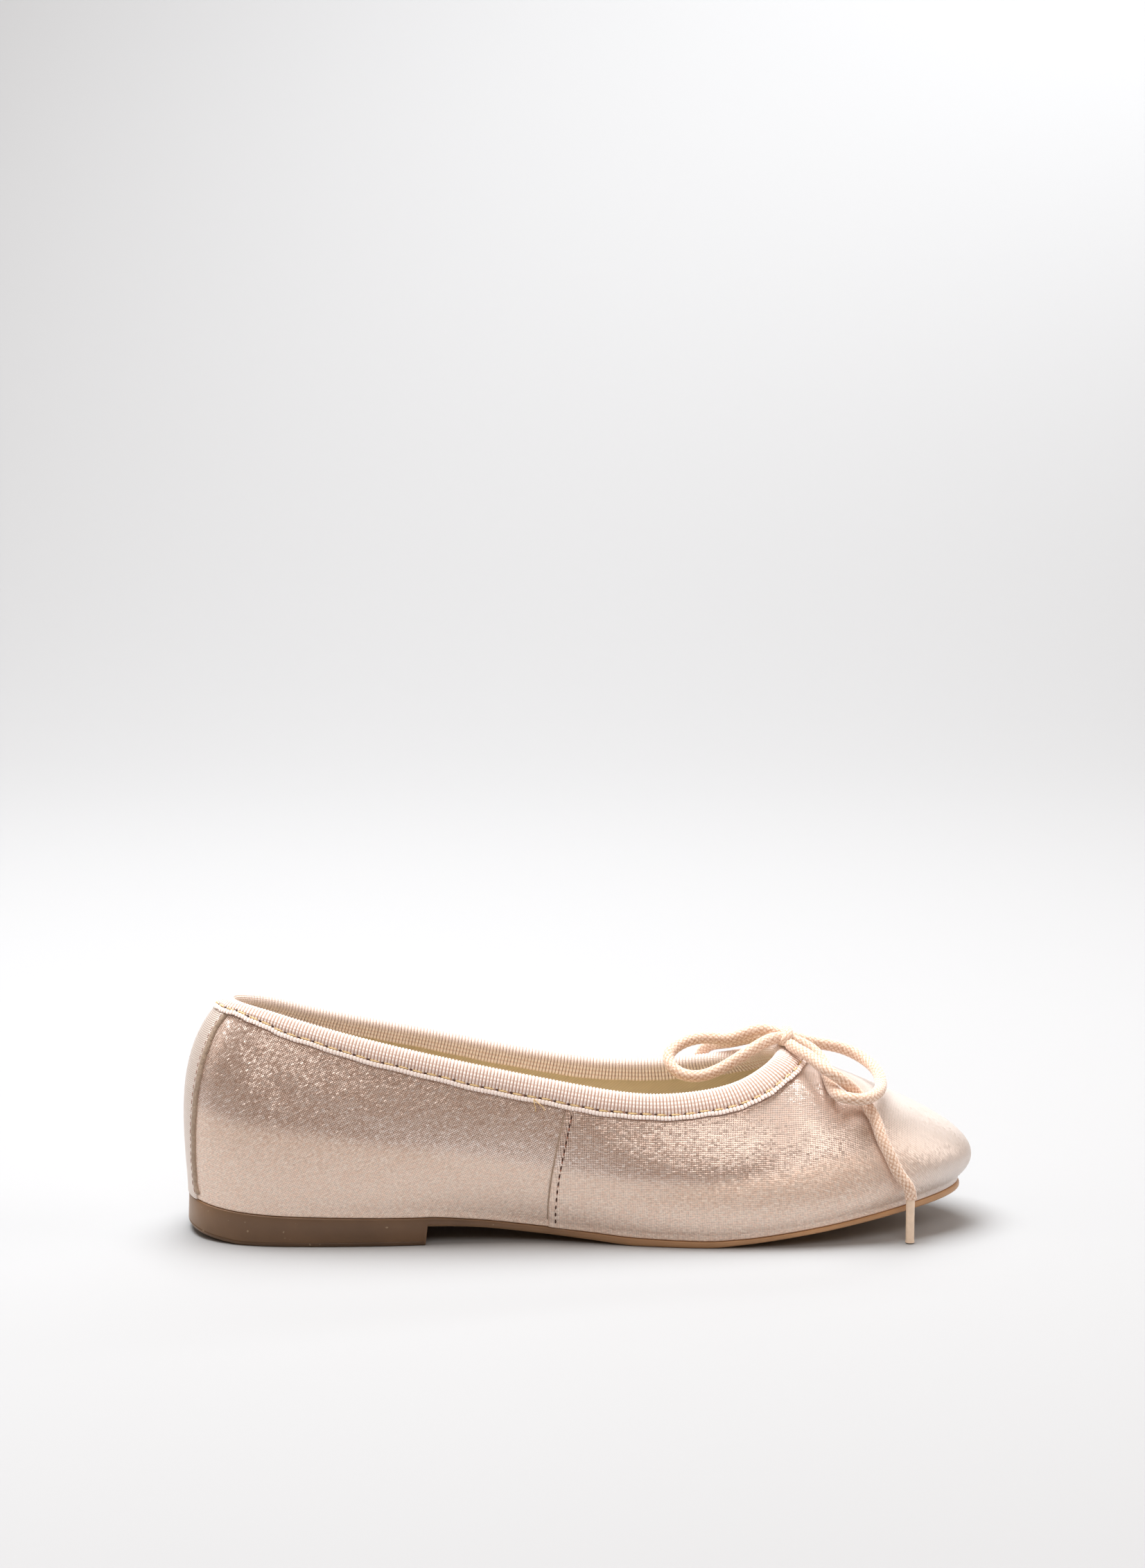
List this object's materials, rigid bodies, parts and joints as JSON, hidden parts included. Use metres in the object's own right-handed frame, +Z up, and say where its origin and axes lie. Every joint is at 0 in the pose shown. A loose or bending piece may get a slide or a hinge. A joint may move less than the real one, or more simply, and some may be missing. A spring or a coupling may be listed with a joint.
{
  "type": "ballet flat",
  "caption": "Child's ballet flat for the left foot, with a low block heel, a rounded toe, a ribbed binding round the topline and a drawcord tied in a bow at the throat.",
  "frame": {"origin": "on the floor, under the middle of the shoe's length and of its width at the ball, cord left out", "axes": "+X from the heel to the toe, -Y the medial side, +Y the lateral side, +Z up"},
  "size_m": [0.1995, 0.0681, 0.0591],
  "materials": {
    "sole": "matt, translucent brown",
    "sock": "matt woven lining",
    "upper": "fine metallic foil on a woven ground",
    "binding": "ribbed ribbon",
    "cord": "braided cotton",
    "aglet": "clear satin"
  },
  "bodies": {
    "root": {"outsole": "sole", "insole": "sock", "upper": "upper", "topline_binding": "binding", "bow_knot": "cord", "bow_loop_front": "cord", "bow_loop_rear": "cord", "cord_end_near": "cord", "cord_end_far": "cord", "aglet_near": "aglet", "aglet_far": "aglet"}
  },
  "joints": []
}
